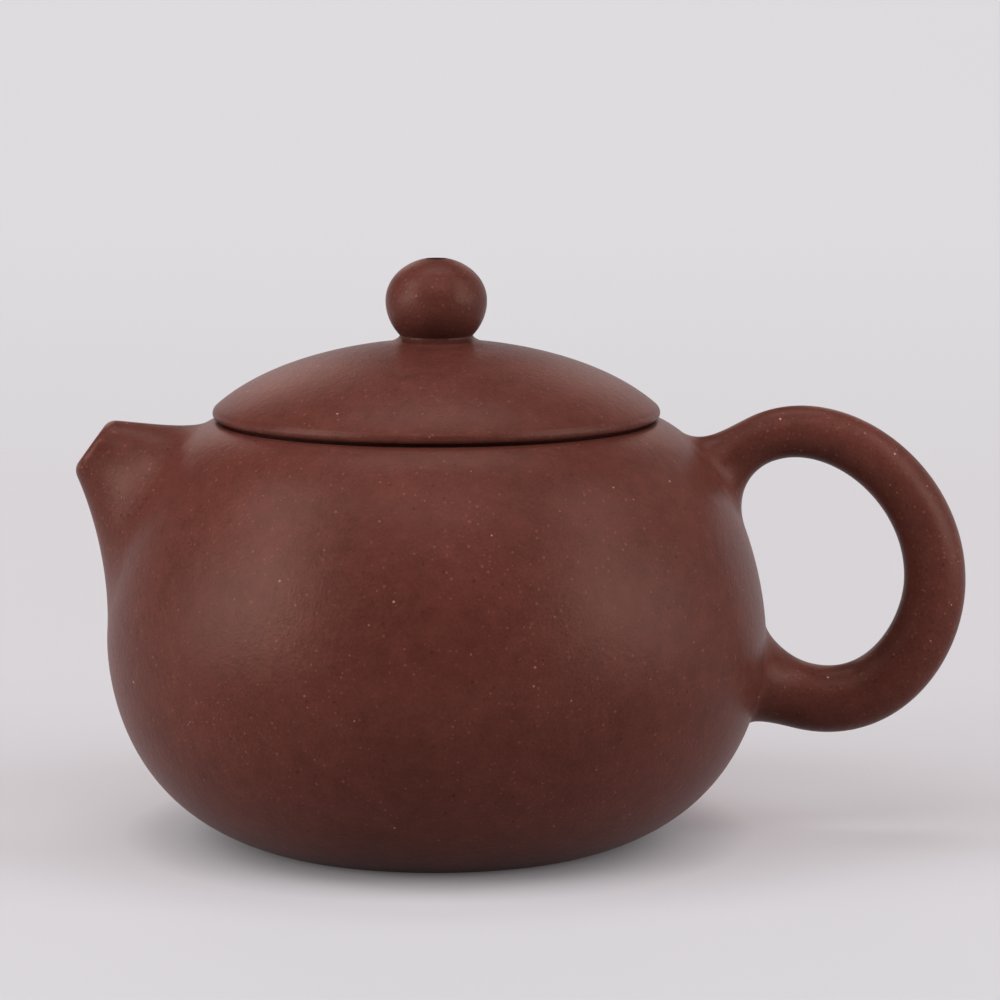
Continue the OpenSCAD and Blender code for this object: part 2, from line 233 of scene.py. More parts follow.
potShape = {
    # millimetres and degrees
    "bellyHeight": 28.0,
    "bellyUpright": 6.4,
    "footRadius": 26.9,
    "footSlope": 18.0,
    "lowTurn": 2.5,
    "shoulderSlope": 22.6,
    "highTurn": 4.2,
    "wall": 2.6,
    "restWidth": 2.4,
    "footRounding": 0.5,
    "footCurl": (0.6, 0.8),
    "baseDish": 0.9,
    "dishMargin": 0.9,      # the base's dish ends this far inside the foot ring
    "floorMargin": 4.0,     # and the flat of the floor this far
    "floorCurl": (1.6, 2.6),
    "floorGap": 2.0,        # the inner wall starts this far above the floor's rim
    "grooveWidth": 1.3,
    "seatWidth": 3.6,
    "edge": 0.35,
    "lowEdge": 1.0,
    "neckCurl": (0.8, 0.6),
    "neckGap": 0.2,
    "windowGap": 0.45,      # the wall's points nearer to a root go
    "sides": 256,
    "halfSteps": 60,
    "dishSteps": 18,
}
bellyRadius, shoulderHeight = wallHigh[0], wallHigh[2]
shoulderRadius, seatHeight, neckHeight = ringHigh[0], ringHigh[2], ringLow[2]
baseRadius = potShape["footRadius"] - potShape["restWidth"]
seatRadius = shoulderRadius - potShape["grooveWidth"]
mouthRadius = seatRadius - potShape["seatWidth"]


def wallHalves():
    # foot to belly, and belly to shoulder; both bend equally where they meet
    s = potShape
    foot, belly = (s["footRadius"], 0), (bellyRadius, s["bellyHeight"])
    shoulder = (shoulderRadius, shoulderHeight)
    lowReach = (bellyRadius - s["lowTurn"] - s["footRadius"]) / cos(radians(s["footSlope"]))
    highReach = (bellyRadius - s["highTurn"] - shoulderRadius) / cos(radians(s["shoulderSlope"]))
    highUpright = s["bellyUpright"] * sqrt(s["highTurn"] / s["lowTurn"])
    low = handles(foot, s["footSlope"], lowReach, belly, -90, s["bellyUpright"])
    high = handles(belly, 90, highUpright, shoulder, -s["shoulderSlope"], highReach)
    return low, high


def wallLine(steps, depth=0.0):
    t = np.linspace(0, 1, steps + 1)
    low, high = wallHalves()
    return chain(beside(low, t, depth), beside(high, t, depth))


class Surface:
    # one side of the wall, to find places on it
    def __init__(self, depth=0.0, steps=700):
        points = wallLine(steps, depth)
        self.r, self.z = points[:, 0], points[:, 1]
        step = np.linalg.norm(np.diff(points, axis=0), axis=1)
        self.length = np.concatenate([[0], np.cumsum(step)])

    def radius(self, z):
        return np.interp(z, self.z, self.r)

    def place(self, z, side=1):
        return np.array([side * self.radius(z), 0.0, z])

    def normal(self, p):
        half = 0.25
        lean = (self.radius(p[..., 2] + half) - self.radius(p[..., 2] - half)) / (2 * half)
        across = np.hypot(p[..., 0], p[..., 1])
        return unit(np.stack([p[..., 0] / across, p[..., 1] / across, -lean], -1))

    def land(self, points, way, outside, inside, halvings=40):
        # where lines along way cross the surface, halved from both ends
        low, high = np.full(len(points), float(outside)), np.full(len(points), float(inside))
        for _ in range(halvings):
            middle = (low + high) / 2
            p = points + middle[:, None] * way
            out = np.hypot(p[:, 0], p[:, 1]) > self.radius(p[:, 2])
            low, high = np.where(out, middle, low), np.where(out, high, middle)
        return points + high[:, None] * way

    def flat(self, points, facing):
        # arc across and arc up, for stitching; facing is the turn in the middle
        turn = np.arctan2(points[:, 1], points[:, 0]) - facing
        turn = (turn + pi) % (2 * pi) - pi
        return np.stack([turn * bellyRadius, np.interp(points[:, 2], self.z, self.length)], -1)


outerWall = Surface()
innerWall = Surface(potShape["wall"])


def dished(rim, radii):
    # the pressed-in curve of the base, under and over
    return np.stack([radii, rim + potShape["baseDish"] * (1 - (radii / baseRadius) ** 2)], -1)


def potProfile():
    # from the middle of the underside round the foot, up the outside, over the mouth
    # and down the inside to the middle of the floor
    s, e, low = potShape, potShape["edge"], potShape["lowEdge"]
    floorRim = baseHigh[2] - s["baseDish"]
    under = dished(baseLow[2], np.linspace(0, baseRadius - s["dishMargin"], s["dishSteps"]))
    footEdge = (baseRadius + s["footRounding"], 0)
    footIn = swept(handles(under[-1], slopeOf(under[-1] - under[-2]), s["footCurl"][0],
                           footEdge, 180, s["footCurl"][1]), 8)
    outer = wallLine(s["halfSteps"])[1:]
    inner = wallLine(s["halfSteps"] * 2 // 3, s["wall"])[::-1]
    inner = inner[(inner[:, 1] > floorRim + s["floorGap"])
                  & (inner[:, 1] < neckHeight - s["neckGap"])]
    groove = chain(line(outer[-1], (seatRadius + e, shoulderHeight), 2),
                   arc((seatRadius + e, shoulderHeight + e), e, 270, 180, 5))
    seat = chain(arc((seatRadius - e, seatHeight - e), e, 0, 90, 6),
                 line((seatRadius - e, seatHeight), (mouthRadius + e, seatHeight), 5),
                 arc((mouthRadius + e, seatHeight - e), e, 90, 180, 6))
    lowEdge = arc((mouthRadius + low, neckHeight + low), low, 180, 270, 8)
    neck = swept(handles(lowEdge[-1], 0, s["neckCurl"][0],
                         inner[0], 180 - s["shoulderSlope"], s["neckCurl"][1]), 4)
    floorRadius = baseRadius - s["floorMargin"]
    floor = dished(floorRim, np.linspace(floorRadius, 0, s["dishSteps"]))
    corner = swept(handles(inner[-1], slopeOf(inner[-1] - inner[-2]), s["floorCurl"][0],
                           floor[0], 0, s["floorCurl"][1]), 10)
    return chain(under, footIn, line(footEdge, (s["footRadius"], 0), 2), outer, groove, seat,
                 line((mouthRadius, seatHeight - e), lowEdge[0], 2), lowEdge, neck, inner,
                 corner, floor)


class Skin:
    # points and faces of one closed surface
    def __init__(self):
        self.points, self.faces = np.zeros((0, 3)), []

    def add(self, points):
        start = len(self.points)
        self.points = np.vstack([self.points, np.atleast_2d(points)])
        return list(range(start, len(self.points)))

    def band(self, a, b):
        for i in range(len(a)):
            k = (i + 1) % len(a)
            self.faces.append((a[i], a[k], b[k], b[i]))

    def bands(self, first, middle, last):
        # a tube from one loop of points over rings to another loop
        before = first
        for ring in middle:
            ring = self.add(ring)
            self.band(before, ring)
            before = ring
        self.band(before, last)

    def stitch(self, surface, facing, border, inside, loop):
        # fills the ground between a window's border and a root's loop
        ids = border + loop + inside
        flat = surface.flat(self.points[ids], facing)
        b, r = len(border), len(loop)
        edges = [(i, (i + 1) % b) for i in range(b)]
        edges += [(b + i, b + (i + 1) % r) for i in range(r)]
        found = delaunay_2d_cdt([Vector(p) for p in flat], edges, [], 0, tiny)
        points, triangles, origin = found[0], found[2], found[3]
        root = flat[b:b + r]
        for triangle in triangles:
            middle = sum((points[i] for i in triangle), Vector((0, 0))) / 3
            if not isInside(root, middle):
                self.faces.append(tuple(ids[origin[i][0]] for i in triangle))


def isInside(outline, p):
    # counts how often a ray from p crosses the outline
    a, b = outline, np.roll(outline, -1, axis=0)
    crosses = (a[:, 1] > p[1]) != (b[:, 1] > p[1])
    with np.errstate(divide="ignore", invalid="ignore"):
        x = a[:, 0] + (p[1] - a[:, 1]) / (b[:, 1] - a[:, 1]) * (b[:, 0] - a[:, 0])
    return np.count_nonzero(crosses & (x > p[0])) % 2 == 1


def distanceTo(outline, points):
    a, b = outline, np.roll(outline, -1, axis=0)
    way = b - a
    t = ((points[:, None] - a) * way).sum(-1) / (way ** 2).sum(-1)
    near = a + np.clip(t, 0, 1)[..., None] * way
    return np.linalg.norm(points[:, None] - near, axis=-1).min(1)


def roundAngles(sides):
    return np.arange(sides) * 2 * pi / sides


def turned(v):
    return np.array([v[2], 0.0, -v[0]])


def rootLine(near, far, halfSide, outwards, sides):
    # the closed line on the wall round a root
    a = roundAngles(sides)[:, None]
    middle = (near + far) / 2
    points = middle + np.cos(a) * (near - middle) + halfSide * np.sin(a) * sideways
    return outerWall.land(points, outwards, bellyRadius / 2, -bellyRadius / 2)


def filletRibs(points, ways, root, middle, startPull, wallPull):
    # curves from points, which they leave along ways, to the wall, where they lie flat
    square = outerWall.normal(root)
    towards = middle - root
    flat = unit(towards - (towards * square).sum(1)[:, None] * square)
    span = np.linalg.norm(root - points, axis=1)[:, None]
    return [points, points + startPull * span * ways, root + wallPull * span * flat, root]


spoutShape = {
    # millimetres and degrees; pulls are shares
    "out": 1.9,
    "drop": 3.6,
    "rise": 36.0,
    "tipRadius": 4.6,
    "ribStart": 0.45,
    "cutBack": -0.2,
    "lipLength": 0.45,
    "lipWidth": 1.1,
    "lipPull": 0.62,
    "boreEdge": 0.3,
    "rootDrop": 0.3,
    "rootLow": 1.0,
    "rootSide": 13.0,
    "widen": 31.0,
    "widenSide": 11.0,
    "tipPull": 0.44,
    "wallPull": 0.2,
    "holeRadius": 5.4,
    "sides": 96,
    "rootSteps": 44,
    "lipSteps": 12,
    "edgeSteps": 5,
    "boreSteps": 14,
    "holeSteps": 4,
}
spoutRise = radians(spoutShape["rise"])
spoutIn = np.array([cos(spoutRise), 0, -sin(spoutRise)])
spoutUp = np.array([sin(spoutRise), 0, cos(spoutRise)])
spoutTip = np.array([-(bellyRadius + spoutShape["out"]), 0, shoulderHeight - spoutShape["drop"]])


def spoutRing(radius, back):
    a = roundAngles(spoutShape["sides"])[:, None]
    return spoutTip + back * spoutIn + radius * (np.cos(a) * spoutUp + np.sin(a) * sideways)


def spoutRings():
    # root loop, rings out to the lip and back in, and the hole's loop inside the pot
    s = spoutShape
    a = roundAngles(s["sides"])[:, None]
    outwards = np.cos(a) * spoutUp + np.sin(a) * sideways
    topHeight = shoulderHeight - s["rootDrop"]
    lowHeight = potShape["bellyHeight"] + s["rootLow"]
    top, low = outerWall.place(topHeight, -1), outerWall.place(lowHeight, -1)
    root = rootLine(top, low, s["rootSide"], unit(turned(low - top)), s["sides"])
    ways = unit(spoutIn + tan(radians(s["widen"])) * np.cos(a) * spoutUp
                + tan(radians(s["widenSide"])) * np.sin(a) * sideways)
    ribs = filletRibs(spoutRing(s["tipRadius"], s["ribStart"]), ways, root, (top + low) / 2,
                      s["tipPull"], s["wallPull"])
    # the outer edge of the mouth is rounded over, from a little way down each rib
    first = s["lipLength"] / (3 * np.linalg.norm(ribs[1] - ribs[0], axis=1))
    shares = np.linspace(1, 0, s["rootSteps"] + 1)[1:-1]
    rings = [along(ribs, first + (1 - first) * t) for t in shares]
    start, way = along(ribs, first), -heading(ribs, first)
    reach = ((start - spoutTip) @ spoutIn - s["cutBack"]) / -(way @ spoutIn)
    corner = start + reach[:, None] * way
    flat = corner - s["lipWidth"] * outwards
    pull = s["lipPull"]
    lip = (start, start + pull * (corner - start), flat + pull * (corner - flat), flat)
    rings += [along(lip, np.full(s["sides"], t)) for t in np.linspace(0, 1, s["lipSteps"] + 1)]
    edge = s["boreEdge"]
    rings += [flat - edge * sin(q) * outwards + edge * (1 - cos(q)) * spoutIn
              for q in np.radians(np.linspace(0, 90, s["edgeSteps"] + 1)[1:])]
    bore = spoutRing(s["holeRadius"], 0)
    hole = outerWall.land(bore, spoutIn, 0, bellyRadius / 2)
    innerHole = innerWall.land(bore, spoutIn, 0, bellyRadius / 2)
    start = rings[-1]
    rings += [start + (hole - start) * t for t in np.linspace(0, 1, s["boreSteps"] + 1)[1:]]
    rings += [hole + (innerHole - hole) * t for t in np.linspace(0, 1, s["holeSteps"] + 1)[1:-1]]
    return root, rings, innerHole


handleShape = {
    # millimetres and degrees; fulls, begins, ends and pulls are shares
    "out": 23.8,
    "sag": 0.4,
    "topDrop": 7.8,
    "lowDrop": 6.0,
    "topThick": 6.6,
    "lowThick": 9.5,
    "topSlope": 56.0,
    "lowSlope": 31.0,
    "topFull": 0.555,
    "farHighFull": 1.12,
    "farLowFull": 0.72,
    "lowFull": 0.71,
    "topFrom": 1.5,
    "topTo": 15.4,
    "lowFrom": 2.0,
    "lowTo": 12.8,
    "topSpread": 3.7,
    "lowSpread": 2.6,
    "barBegins": 0.16,
    "barEnds": 0.86,
    "barPull": 0.4,
    "topPull": 0.4,
    "lowPull": 0.2,
    "sides": 72,
    "barSteps": 96,
    "rootSteps": 22,
}


def handleCurves():
    s = handleShape
    topZ, lowZ = shoulderHeight - s["topDrop"], potShape["bellyHeight"] - s["lowDrop"]
    far = (bellyRadius + s["out"], (topZ + lowZ) / 2 - s["sag"])
    start, end = (outerWall.radius(topZ), topZ), (outerWall.radius(lowZ), lowZ)
    high = handles(start, s["topSlope"], s["topFull"] * (far[0] - start[0]),
                   far, 90, s["farHighFull"] * (topZ - far[1]))
    low = handles(far, -90, s["farLowFull"] * (far[1] - lowZ),
                  end, -s["lowSlope"], s["lowFull"] * (far[0] - end[0]))
    return high, low


highBow, lowBow = handleCurves()


def barPlace(t):
    # a curve of the bar and a share of it: the upper one, or past 1 the lower one
    return (highBow, t) if t < 1 else (lowBow, t - 1)


def barWay(t):
    w = heading(*barPlace(t))
    return np.array([w[0], 0, w[1]])


def barRing(t):
    # the bar's section, which thickens from the top to the lower end
    s = handleShape
    p = along(*barPlace(t))
    radius = (s["topThick"] + (s["lowThick"] - s["topThick"]) * sin(radians(45 * t))) / 2
    a = roundAngles(s["sides"])[:, None]
    across = np.cos(a) * -turned(barWay(t)) + np.sin(a) * sideways
    return np.array([p[0], 0, p[1]]) + radius * across


def handleRings():
    s = handleShape
    topNear = outerWall.place(shoulderHeight - s["topFrom"])
    topFar = outerWall.place(shoulderHeight - s["topTo"])
    lowNear = outerWall.place(potShape["bellyHeight"] - s["lowTo"])
    lowFar = outerWall.place(potShape["bellyHeight"] + s["lowFrom"])
    topRoot = rootLine(topNear, topFar, s["topThick"] / 2 + s["topSpread"],
                       unit(turned(topNear - topFar)), s["sides"])
    lowRoot = rootLine(lowNear, lowFar, s["lowThick"] / 2 + s["lowSpread"],
                       unit(turned(lowFar - lowNear)), s["sides"])
    begin, end = s["barBegins"], 1 + s["barEnds"]
    topRibs = filletRibs(barRing(begin), -barWay(begin), topRoot, (topNear + topFar) / 2,
                         s["barPull"], s["topPull"])
    lowRibs = filletRibs(barRing(end), barWay(end), lowRoot, (lowNear + lowFar) / 2,
                         s["barPull"], s["lowPull"])
    shares = np.linspace(1, 0, s["rootSteps"] + 1)[1:-1]
    rings = [along(topRibs, np.full(s["sides"], t)) for t in shares]
    rings += [barRing(t) for t in np.linspace(begin, end, s["barSteps"])]
    rings += [along(lowRibs, np.full(s["sides"], t)) for t in shares[::-1]]
    return topRoot, rings, lowRoot


stainAndShadeShape = {
    # inside, groove and neck are strengths, boreFlare is a share; the rest are millimetres; inside
    # is tea stain, while the groove, the neck, the bore and the vent are painted shade
    "inside": 0.55,
    "skinDepth": 1.2,
    "floorSlack": 0.2,
    "mouthSlack": 0.05,
    "groove": 0.6,
    "grooveDepth": 0.02,
    "grooveMargin": 0.1,
    "boreFrom": 0.15,
    "boreDepth": 0.3,
    "boreLength": 13.0,
    "boreRadius": 3.1,
    "boreFlare": 0.33,
    "neck": 0.55,
    "neckHeight": 4.2,
    "ventSlack": 0.08,
}


def potStainAndShade(points):
    # painted shade makes the spout's bore dark; a painted shadow darkens the groove round the mouth
    # less, and tea stain the inside of the pot less too
    s = stainAndShadeShape
    r, z = np.hypot(points[:, 0], points[:, 1]), points[:, 2]
    floorRim = baseHigh[2] - potShape["baseDish"]
    inside = (outerWall.radius(z) - r > s["skinDepth"]) & (z > floorRim - s["floorSlack"])
    inside &= (z < shoulderHeight) | (r < mouthRadius + s["mouthSlack"])
    depth = (points - spoutTip) @ spoutIn
    off = np.linalg.norm(points - spoutTip - depth[:, None] * spoutIn, axis=1)
    # painted shade: the bore darkens from its mouth inwards
    bore = (off < s["boreRadius"] + s["boreFlare"] * depth) & (depth < s["boreLength"])
    # painted shadow: the groove under the lid's overhanging rim is darkened
    groove = ((z > shoulderHeight - s["grooveDepth"]) & (r > seatRadius - s["grooveMargin"])
              & (r < shoulderRadius - s["grooveMargin"]))
    return np.maximum.reduce([inside * s["inside"], groove * s["groove"],
                              bore * (depth + s["boreFrom"]) / s["boreDepth"]])


def cutWindow(skin, profile, rows, missing, surface, facing, points):
    # stitches a root's loop into the wall: the cells near it go missing, and the ground
    # between them and the loop is filled
    sides = potShape["sides"]
    loop = skin.add(points)
    flat = surface.flat(points, facing)
    bottom, top = surface.z[0] - tiny, surface.z[-1] + tiny
    onWall = [j for j, (r, z) in enumerate(profile)
              if bottom <= z <= top and abs(surface.radius(z) - r) < closeBy]
    spots = np.array([[profile[j][0], 0, profile[j][1]] for j in onWall])
    heights = surface.flat(spots, 0)[:, 1]
    order = np.argsort(heights)
    onWall, heights = np.array(onWall)[order], heights[order]
    lowRow = max(np.searchsorted(heights, flat[:, 1].min()) - 2, 0)
    highRow = min(np.searchsorted(heights, flat[:, 1].max()) + 1, len(heights) - 1)
    half = int(np.ceil(np.abs(flat[:, 0]).max() / bellyRadius * sides / (2 * pi))) + 1
    middle = int(round(facing / (2 * pi) * sides))
    columns = [(middle + k) % sides for k in range(-half, half + 1)]
    window = [rows[j] for j in onWall[lowRow:highRow + 1]]
    border = [window[0][c] for c in columns] + [row[columns[-1]] for row in window[1:-1]]
    border += [window[-1][c] for c in columns[::-1]]
    border += [row[columns[0]] for row in window[-2:0:-1]]
    inside = [row[c] for row in window[1:-1] for c in columns[1:-1]]
    place = surface.flat(skin.points[inside], facing)
    clear = distanceTo(flat, place) > potShape["windowGap"]
    inside = [v for v, p, ok in zip(inside, place, clear) if ok and not isInside(flat, p)]
    first, last = sorted((onWall[lowRow], onWall[highRow]))
    missing.update((j, c) for j in range(first, last) for c in columns[:-1])
    skin.stitch(surface, facing, border, inside, loop)
    return loop


def turnProfile(skin, rows, missing):
    # the faces between the profile's rows, apart from the missing cells
    sides = potShape["sides"]
    for j in range(len(rows) - 1):
        a, b = rows[j], rows[j + 1]
        for i in range(sides):
            k = (i + 1) % sides
            if (j, i) in missing:
                continue
            if len(a) == 1:
                skin.faces.append((a[0], b[i], b[k]))
            elif len(b) == 1:
                skin.faces.append((a[i], b[0], a[k]))
            else:
                skin.faces.append((a[i], a[k], b[k], b[i]))


def makePot():
    profile = potProfile()
    turn = roundAngles(potShape["sides"])
    around = np.stack([np.cos(turn), np.sin(turn), np.ones(len(turn))], -1)
    skin, missing = Skin(), set()
    rows = [skin.add(np.array([r, r, z]) * around) if r > tiny else skin.add([[0, 0, z]])
            for r, z in profile]
    spoutRoot, spoutMiddle, spoutHole = spoutRings()
    topRoot, handleMiddle, lowRoot = handleRings()
    spoutLoop = cutWindow(skin, profile, rows, missing, outerWall, pi, spoutRoot)
    holeLoop = cutWindow(skin, profile, rows, missing, innerWall, pi, spoutHole)
    skin.bands(spoutLoop, spoutMiddle, holeLoop)
    topLoop = cutWindow(skin, profile, rows, missing, outerWall, 0.0, topRoot)
    lowLoop = cutWindow(skin, profile, rows, missing, outerWall, 0.0, lowRoot)
    skin.bands(topLoop, handleMiddle, lowLoop)
    turnProfile(skin, rows, missing)
    return markStainAndShade(finishMesh(newMesh("potSkin", skin.points, skin.faces)), potStainAndShade)


lidShape = {
    # millimetres and degrees
    "domeSlope": 41.0,
    "domeReach": 10.5,
    "domeLevel": 8.9,
    "domeThick": 2.5,
    "rimHeight": 1.1,
    "rimIn": 0.45,
    "rimCurl": 0.75,
    "rimTuck": 0.19,
    "rimDrop": 0.45,
    "rimGap": 0.35,
    "rimEdge": 0.15,
    "collarThick": 2.2,
    "collarEdge": 0.35,
    "collarTop": 1.4,       # how far below the dome the collar's inside bends away
    "insideMargin": 1.6,
    "insideBend": 1.0,
    "cornerFillet": 0.4,
    "neckRadius": 5.05,
    "neckMeet": 0.12,       # the knob's line ends this far outside the neck
    "neckBend": 0.3,
    "neckSkirt": 3.0,
    "skirtPull": 0.8,       # a share of the skirt
    "knobRise": 5.6,
    "knobCrown": 6.0,
    "knobUnder": 7.0,
    "ventRadius": 1.45,
    "ventBevel": 0.15,
    "ventLead": 1.3,        # lead and curl are shares of the bevel
    "ventCurl": 0.6,
    "ventFoot": 0.3,
    "sides": 224,
    "knobSteps": 43,
    "domeSteps": 59,
    "underSteps": 119,
    "domeFine": 400,        # places tried to find where the neck's skirt meets the dome
}


def lidProfile():
    # a closed line: over the knob, down the dome, round the rim and the collar, back
    # under the dome and up the vent
    s = lidShape
    seatZ, domeTop, lidRadius = domeLow[2], domeHigh[2], domeHigh[0]
    knobRadius, knobZ = knobHigh[0], domeTop + s["knobRise"]
    vent, bevel = s["ventRadius"], s["ventBevel"]
    rimTop = np.array([lidRadius - s["rimIn"], seatZ + s["rimHeight"]])
    rimLow = rimTop - [s["rimTuck"], s["rimHeight"] + s["rimDrop"]]
    dome = handles((0, domeTop), 0, s["domeLevel"], rimTop, 180 - s["domeSlope"], s["domeReach"])

    def ball(a):
        a = np.asarray(a)
        tall = np.where(a > 0, s["knobCrown"], s["knobUnder"])
        return np.stack([knobRadius * np.cos(a), knobZ + tall * np.sin(a)], -1)

    topAngle = acos((vent + s["ventLead"] * bevel) / knobRadius)
    neckAngle = -acos((s["neckRadius"] + s["neckMeet"]) / knobRadius)
    knobLine = ball(np.linspace(topAngle, neckAngle, s["knobSteps"] + 1))
    ventTop, curl = (vent, knobLine[0][1] - bevel), bevel * s["ventCurl"]
    ventLip = swept(handles(ventTop, 90, curl, knobLine[0],
                            slopeOf(knobLine[0] - knobLine[1]), curl), 5)
    domeT = np.linspace(0, 1, s["domeFine"])
    start = np.interp(s["neckRadius"] + s["neckSkirt"], along(dome, domeT)[:, 0], domeT)
    fillet = swept(handles(knobLine[-1], slopeOf(knobLine[-1] - knobLine[-2]), s["neckBend"],
                           along(dome, start), slopeOf(-heading(dome, start)),
                           s["neckSkirt"] * s["skirtPull"]), 14)
    domeLine = along(dome, np.linspace(start, 1, s["domeSteps"] + 1))
    rim = swept(handles(rimTop, -s["domeSlope"], s["rimCurl"], rimLow, 0, s["rimCurl"]), 12)
    collarOut, collarIn = collarHigh[0], collarHigh[0] - s["collarThick"]
    low, e, f = collarLow[2], s["collarEdge"], s["cornerFillet"]
    # the rim hangs a little way into the groove
    lip, c = seatRadius + s["rimGap"], s["rimEdge"]
    lipIn = chain(arc((lip + c, rimLow[1] + c), c, 270, 180, 4),
                  arc((lip - c, seatZ - c), c, 0, 90, 4))
    seat = line(lipIn[-1], (collarOut + f, seatZ), 5)
    corner = arc((collarOut + f, seatZ - f), f, 90, 180, 4)
    collar = chain(line(corner[-1], (collarOut, low + e), 4),
                   arc((collarOut - e, low + e), e, 0, -90, 5),
                   arc((collarIn + e, low + e), e, -90, -180, 5))
    under = beside(dome, np.linspace(0, 1, s["underSteps"] + 1), -s["domeThick"])
    inward, outward = under[:, 0] < collarIn - s["insideMargin"], under[:, 0] > vent + s["ventFoot"]
    inside = under[inward & outward][::-3]
    upTo = (collarIn, np.interp(collarIn, under[:, 0], under[:, 1]) - s["collarTop"])
    bend = swept(handles(upTo, 90, s["insideBend"], inside[0],
                         slopeOf(inside[0] - inside[1]), s["insideBend"]), 6)
    ventLine = line((vent, under[0][1] + s["ventFoot"]), ventTop, 12)
    return chain(ventLip, knobLine, fillet, domeLine, rim, lipIn, seat, corner, collar,
                 line(collar[-1], upTo, 6), bend, inside, ventLine)[:-1]


def lidStainAndShade(points):
    # the vent is painted dark as shade, the underside of the lid less so with tea stain, and the
    # crease and lower part of the knob less so with painted shade that fades upwards; the limit
    # lies inside the collar's wall, so that no point of its outside is on it
    s = lidShape
    r, z = np.hypot(points[:, 0], points[:, 1]), points[:, 2]
    dome = domeHigh[2] - (domeHigh[2] - domeLow[2]) * (r / domeHigh[0]) ** 2
    deep = dome - z > stainAndShadeShape["skinDepth"]
    inside = deep & (r < collarHigh[0] - s["collarThick"] / 2)
    high = z - domeHigh[2]
    # painted shade on the knob's lower part, fading upwards from the dome
    neck = stainAndShadeShape["neck"] * (1 - high / stainAndShadeShape["neckHeight"]) * (high > 0)
    # painted shade inside the vent
    vent = r < s["ventRadius"] + stainAndShadeShape["ventSlack"]
    return np.maximum.reduce([inside * stainAndShadeShape["inside"], vent, neck])


def latheTree():
    # turns the object's line of points round the Z axis
    tree, t, given, result = newTree("Geometry", "turnedClay", {
        "Geometry": ("Geometry", None),
        "Sides": ("Int", 64),
        "Points": ("Int", 10),
        "Merge Distance": ("Float", 1e-6),
        "Material": ("Material", None),
    }, {"Geometry": "Geometry"})
    grid = t.add("GeometryNodeMeshGrid", Size_X=1.0, Size_Y=1.0,
                 Vertices_X=t.plus(given["Sides"], 1), Vertices_Y=t.plus(given["Points"], 1))
    where = t.add("ShaderNodeSeparateXYZ", None, Vector=t.add("GeometryNodeInputPosition"))
    angle = t.times(t.plus(where.outputs[0], 0.5), 2 * pi)
    row = t.math("ROUND", t.times(t.plus(where.outputs[1], 0.5), given["Points"]))
    row = t.math("FLOORED_MODULO", row, given["Points"])
    sample = t.add("GeometryNodeSampleIndex", settings={"data_type": "FLOAT_VECTOR"},
                   Geometry=given["Geometry"], Value=t.add("GeometryNodeInputPosition"), Index=row)
    spot = t.add("ShaderNodeSeparateXYZ", None, Vector=sample)
    place = t.onCircle(spot.outputs[0], angle, spot.outputs[2])
    sheet = t.add("GeometryNodeSetPosition", Geometry=grid, Position=place)
    merged = t.add("GeometryNodeMergeByDistance", Geometry=sheet,
                   Distance=given["Merge Distance"])
    endTree(t, merged, given, result)
    return tree


def turnOnWheel(name, outline, sides, material, lathe):
    # the outline's points carry radius in X and height in Z
    count = len(outline)
    points = [(r, 0, z) for r, z in outline]
    obj = newMesh(name, points, [], [(i, (i + 1) % count) for i in range(count)])
    runTree(obj, lathe, Sides=sides, Points=count, Material=material)
    return finishMesh(obj)


strainerShape = {
    # millimetres and degrees
    "radius": 7.3,
    "thick": 1.4,
    "pinDiameter": 1.3,
    "pinWeb": 0.9,
    "pinRings": 3,
    "pinStep": 20.0,
    "pinSides": 20,
    "pinLength": 3.0,       # in thicknesses of the ball
    "bite": 0.25,
    "ballSides": 72,
    "ballRings": 36,
    "cavitySides": 128,
    "cavitySteps": 40,
    "cavityFloor": 10,
    "cavityCore": 0.01,
}


def pinRing(t, given, middle, ring):
    # the middles of one ring of pins, as many as fit round the ball there
    tilt = t.times(given["Pin Step"], float(ring))
    across = t.times(middle, t.math("SINE", tilt))
    pitch = t.plus(given["Pin Diameter"], given["Pin Web"])
    count = t.math("FLOOR", t.math("DIVIDE", t.times(across, 2 * pi), pitch))
    count = t.math("MAXIMUM", 1, count)
    dots = t.add("GeometryNodePoints", Count=count)
    share = t.math("DIVIDE", t.add("GeometryNodeInputIndex"), count)
    height = t.times(middle, t.math("COSINE", tilt))
    spot = t.onCircle(across, t.times(share, 2 * pi), height)
    return t.add("GeometryNodeSetPosition", Geometry=dots, Position=spot)


